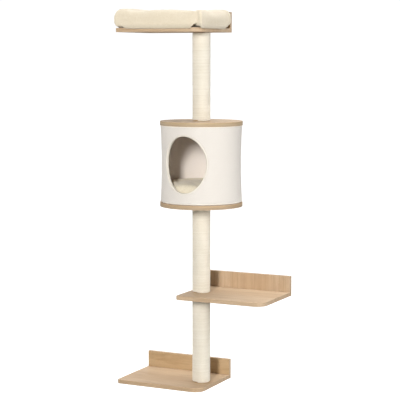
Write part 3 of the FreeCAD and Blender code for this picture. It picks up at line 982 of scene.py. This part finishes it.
def rim_top(x, y):
    """The height of the rim's crest: full at its left end, and sagging a little elsewhere."""
    crest = BED_Z0 + 67.5 + 8.0 * ease((-118.0 - x) / 40.0)
    if y < -150.0:
        crest -= 4.5 * falloff(x + 86.0, 27.0) + 2.4 * falloff(x - 130.0, 60.0)
    elif x > 100.0:
        crest += 5.0 * min(1.0, (y + 150.0) / 90.0)
    return crest


def bed_rim():
    """The bed's stuffed rim before it is filled: four straight rolls, mitred at the corners."""
    section = 44
    middle = BED_Z0 + RIM_MIDDLE
    corners = [(Vector((x, y, 0)), Vector((dx, dy, 0))) for x, y, dx, dy in (
        (BED_X0, BED_Y0, 1, 1), (BED_X1, BED_Y0, -1, 1), (BED_X1, BED_Y1, -1, -1),
        (BED_X0, BED_Y1, 1, -1))]
    points = []
    for index, (start, a) in enumerate(corners):
        end, b = corners[(index + 1) % 4]
        steps = 40 if index % 2 == 0 else 28
        for i in range(steps):
            for turn in angles(section):
                power = 0.62 if math.sin(turn) > 0 else 0.42
                c, s = swell(math.cos(turn), power), swell(math.sin(turn), power)
                across = RIM_INSET - 27.5 * c
                p = start + a * across + (end + b * across - start - a * across) * (i / steps)
                up = (rim_top(p.x, p.y) - middle - 3.0) if s > 0 else 31.5
                points.append((p.x, p.y, middle + up * s))
    faces = tube_faces(len(points) // section, section, True)
    return make("bed_rim", points, faces, "plush", "bed")


# the corner seams: where each starts, which way it runs, and how tight it is
RIM_SEAMS = ((BED_X0, BED_Y0, 1, 1, 0.12), (BED_X1 - 17.0, BED_Y0, -1, 1, 1.0),
             (BED_X1, BED_Y1, -1, -1, 0.9), (BED_X0, BED_Y1, 1, -1, 0.7))


def rim_seam(point):
    """How far a point is from the nearest corner seam, and how tight that seam is."""
    best, tight = 1e9, 0.0
    for cx, cy, dx, dy, strength in RIM_SEAMS:
        along = ((point.x - cx) * dx + (point.y - cy) * dy) / math.sqrt(2)
        away = abs((point.x - cx) * dx - (point.y - cy) * dy) / math.sqrt(2)
        if -20.0 < along < 100.0 and away < best:
            best, tight = away, strength
    return best, tight


def rim_held(point):
    away, tight = rim_seam(point)
    return point.z < BED_Z0 + 3.0 or (away < 3.0 and tight > 0.5)


def left_corner(point):
    return math.hypot(point.x - BED_X0, point.y - BED_Y0)


def rim_foot(point, lifted):
    """Fills the foot of the rim outwards and hangs it over the board's edges, except where
    a corner is lifted."""
    point = point.copy()
    hang = 0.0
    for axis, sign, edge in ((1, -1, BED_Y0), (0, -1, BED_X0), (0, 1, BED_X1)):
        down = (BED_Z0 + RIM_MIDDLE - point.z) / RIM_MIDDLE
        out = (sign * (point[axis] - edge) + RIM_INSET) / RIM_REACH
        if out <= 0.0 or down <= 0.0:
            continue
        free = (1.0 - lifted) * (1.0 - 0.9 * falloff(left_corner(point), 40.0))
        if axis == 0 and point.y > BED_Y1 - 60.0:
            free *= max(0.0, (BED_Y1 - 10.0 - point.y) / 50.0)
        square = max(1.0, 1.0 / max(out, down, 0.7)) - 1.0
        grow = square * ease((min(out, down) - 0.35) / 0.35) * free * 0.7
        out *= 1.0 + grow
        down *= 1.0 + grow
        this = ease((out - 0.74) / 0.2) * ease((down - 0.25) / 0.6) * free
        push = (4.6 if axis == 1 else 1.6) * this
        point[axis] = edge + sign * (RIM_REACH * out - RIM_INSET + push)
        point.z = BED_Z0 + RIM_MIDDLE - RIM_MIDDLE * down
        hang = max(hang, this)
    past = (BOARD_FRONT - 0.5 - point.y, BOARD_LEFT - 0.5 - point.x, point.x - BOARD_RIGHT - 0.5)
    over = max(ease(far / 1.6) for far in past)
    return point - Vector((0, 0, RIM_HANG)) * over * hang


def rim_shape(point, normal):
    """Drawn-in corner seams, full corners, uneven filling and a hanging foot."""
    away, tight = rim_seam(point)
    up = (point.z - BED_Z0) / 66.0
    # the corner seams are drawn in, most of all low down, with short puckers beside them
    draw = (4.2 - 2.2 * up) * falloff(away, 3.0) + 1.8 * falloff(away, 10.0)
    pucker = noise.noise(Vector((point.z * 0.16, point.x * 0.02, point.y * 0.02)))
    draw += 1.4 * pucker * falloff(away, 15.0)
    # a fold near the back end of the right-hand roll
    if point.x > BED_X1 - 20.0:
        fold = point.y - (BED_Y1 - 25.0 - 16.0 * (2.0 * up - 1.0) ** 2)
        draw += 2.2 * falloff(fold, 2.8) / max(tight, 0.1)
    point = point - normal * draw * tight
    lift = tight * falloff(away, 9.0) * max(0.0, 0.34 - up) / 0.34
    point = point + Vector((0, 0, 5.0)) * lift
    # the left front and right back corners are stuffed full
    for cx, cy, full in ((BED_X0, BED_Y0, 3.0), (BED_X1, BED_Y1 - 10.0, 5.5)):
        corner = math.hypot(point.x - cx, point.y - cy)
        point = point + normal * full * falloff(corner, 24.0) * min(1.0, 0.25 + up * 2.2)
    point = point + normal * (1.4 * fuzz(point, 58.0, 2.0) + 0.45 * fuzz(point, 7.0, 4.0))
    tuck = 8.0 * max(0.0, (up - 0.50) / 0.50) ** 2 + 5.0 * max(0.0, (0.36 - up) / 0.36) ** 2
    tuck *= falloff(left_corner(point), 34.0) / math.sqrt(2)
    point = point + Vector((tuck, tuck, 0.0))
    point = rim_foot(point, min(1.0, 3.0 * lift))
    point.x = min(BED_X1 + 5.0, max(BED_X0 - 3.5, point.x))
    point.y = min(BED_Y1 + 0.5, max(BED_Y0 - 6.0, point.y))
    # the foot may only hang down where it is clear of the shelf board
    clear = (point.y < BOARD_FRONT - 0.7 or point.x < BOARD_LEFT - 0.7
             or point.x > BOARD_RIGHT + 0.7)
    point.z = min(BED_Z1 + 3.0, max(BED_Z0 - 7.5 if clear else BED_Z0 + 0.3, point.z))
    return point


rim = bed_rim()
stuff(rim, rim_held, 4.0, rim_shape)
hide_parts("bed_bolster")

PAD_LOW = spans("bed_pad")[2][0]


def bed_pad():
    """The pad inside the rim: crowned, and drawn in between its corners."""
    (x0, x1), (y0, y1), _ = spans("bed_pad")
    cx, cy = (x0 + x1) / 2, (y0 + y1) / 2
    hx, hy = (x1 - x0) / 2 + 4.0, (y1 - y0) / 2 + 4.0
    columns, rows = 48, 28
    base = PAD_LOW + 0.6

    def spot(i, j, side):
        u, v = 2 * i / columns - 1, 2 * j / rows - 1
        x = u * hx * (1 - 0.03 * (1 - v * v))
        y = v * hy * (1 - 0.04 * (1 - u * u))
        edge = (1 - abs(u) ** 3.2) * (1 - abs(v) ** 3.2)
        crown = max(0.0, edge) ** 0.45
        z = base + 9.0 + (20.0 * crown if side > 0 else -8.6 * min(1.0, crown * 1.6))
        return (cx + x, cy + y, z)

    points, faces, grid = [], [], {}
    for side in (1, -1):
        for i in range(columns + 1):
            for j in range(rows + 1):
                rim_point = i in (0, columns) or j in (0, rows)
                if side < 0 and rim_point:
                    grid[side, i, j] = grid[1, i, j]
                    continue
                grid[side, i, j] = len(points)
                points.append(spot(i, j, side))
        for i in range(columns):
            for j in range(rows):
                faces.append((grid[side, i, j], grid[side, i + 1, j],
                              grid[side, i + 1, j + 1], grid[side, i, j + 1]))
    return make("bed_inner_pad", points, faces, "pad", "bed")


def pad_held(point):
    return point.z < PAD_LOW + 3.0


def pad_shape(point, normal):
    return point + normal * (1.6 * fuzz(point, 48.0, 5.0) + 0.5 * fuzz(point, 7.0, 6.0))


pad = bed_pad()
stuff(pad, pad_held, 5.0, pad_shape)
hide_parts("bed_pad")


def under_cloth():
    """The cloth stretched under the bed: a thin sheet with round corners and a flat hem."""
    (x0, x1), (y0, y1), (z0, z1) = spans("bed_cloth")
    z0 += 0.05
    cx, cy, hx, hy, r = (x0 + x1) / 2, (y0 + y1) / 2, (x1 - x0) / 2, (y1 - y0) / 2, 30.0
    outline = []
    for sx, sy, start in ((1, -1, -90), (1, 1, 0), (-1, 1, 90), (-1, -1, 180)):
        for k in range(9):
            a = math.radians(start + 90 * k / 8)
            outline.append((cx + sx * (hx - r) + r * math.cos(a),
                            cy + sy * (hy - r) + r * math.sin(a)))
    hem = [(cx + (x - cx) * 0.96, cy + (y - cy) * 0.95) for x, y in outline]
    points = [(x, y, z) for loop in (outline, hem) for z in (z0, z1) for x, y in loop]
    count = len(outline)
    faces = []
    for a, b in ((0, count), (2 * count, 0), (count, 3 * count)):
        for k in range(count):
            n = (k + 1) % count
            faces.append((a + k, a + n, b + n, b + k))
    faces.append(tuple(range(2 * count, 3 * count)))
    faces.append(tuple(range(3 * count, 4 * count)))
    return make("bed_under_cloth", points, faces, "under", "bed", smooth=False)


cloth = under_cloth()
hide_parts("bed_cloth")


# -------- floor, light and camera

def stage_floor():
    """A wide grey floor for the light, which the camera sees as white."""
    mesh = bpy.data.meshes.new("stage_floor")
    size, z = 60.0, -0.42
    mesh.from_pydata([(-size, -size, z), (size, -size, z), (size, size, z), (-size, size, z)], [],
                     [(0, 1, 2, 3)])
    s = Shade("stage_white")
    rays = s.node("ShaderNodeLightPath").outputs["Is Camera Ray"]
    s.finish(Base_Color=(0.36, 0.36, 0.35), Roughness=0.9, Emission_Color=(1.0, 1.0, 1.0),
             Emission_Strength=rays, Specular_IOR_Level=0.0)
    mesh.materials.append(s.material)
    add("stage_floor", mesh)


stage_floor()


MIDDLE = Vector((AXIS_X * MM, AXIS_Y * MM, 0.75))
WHITE = (1.0, 1.0, 1.0)


def area_light(name, place, width, height, power, colour):
    data = bpy.data.lights.new(name, "AREA")
    data.shape = "RECTANGLE"
    data.size = width
    data.size_y = height
    data.energy = power
    data.color = colour
    lamp = add(name, data)
    lamp.location = place
    lamp.rotation_euler = (MIDDLE - Vector(place)).to_track_quat("-Z", "Y").to_euler()


def round_place(azimuth, distance, height):
    """A place round the posts' axis: azimuth 0 is in front, and more is to the right."""
    a = math.radians(azimuth)
    return (AXIS_X * MM + distance * math.sin(a), AXIS_Y * MM - distance * math.cos(a), height)


for light in (("key", round_place(11, 4.95, 2.0), 0.55, 1.15, 229.0, (1.0, 0.985, 0.96)),
              ("right_side", round_place(88, 3.6, 1.3), 1.2, 2.4, 56.0, WHITE),
              ("left_side", round_place(-88, 3.6, 1.3), 1.2, 2.4, 28.0, WHITE),
              ("top", (AXIS_X * MM, 0.9, 7.0), 4.0, 2.6, 240.0, WHITE)):
    area_light(*light)

FRONT_AMBIENT = 0.03
BACK_AMBIENT = 0.95


def studio_world():
    """White all round to the camera. As light it is a white backdrop behind the object, and
    dim in front, where the key light is."""
    world = bpy.data.worlds.new("studio")
    bpy.context.scene.world = world
    t = Tree(world)
    direction = t.node("ShaderNodeTexCoord").outputs["Generated"]
    towards = t.node("ShaderNodeSeparateXYZ", {0: direction}).outputs[1]
    glow = t.node("ShaderNodeMapRange", {0: towards, 1: -0.05, 2: 0.50, 3: FRONT_AMBIENT,
                                         4: BACK_AMBIENT}, interpolation_type="SMOOTHSTEP")
    lit = t.node("ShaderNodeBackground", {0: (1.0, 0.995, 0.985), 1: glow.outputs[0]})
    seen = t.node("ShaderNodeBackground", {0: WHITE, 1: 1.05})
    rays = t.node("ShaderNodeLightPath").outputs["Is Camera Ray"]
    pick = t.node("ShaderNodeMixShader", {0: rays, 1: lit.outputs[0], 2: seen.outputs[0]})
    t.node("ShaderNodeOutputWorld", {0: pick.outputs[0]})


studio_world()

# the camera that was fitted to the photograph: metres, and degrees about x, y and z
CAMERA_PLACE = (2.4073, -4.8284, 1.241)
CAMERA_TURN = (83.847, -0.027, 26.074)
CAMERA_LENS = 122.1

camera_data = bpy.data.cameras.new("camera")
camera_data.sensor_width = 36.0
camera_data.lens = CAMERA_LENS
camera_data.clip_start = 0.05
camera_data.clip_end = 200.0
camera = add("camera", camera_data)
camera.location = CAMERA_PLACE
camera.rotation_euler = [math.radians(angle) for angle in CAMERA_TURN]
bpy.context.scene.camera = camera

bpy.context.scene.view_settings.view_transform = "Standard"
bpy.context.scene.view_settings.look = "None"
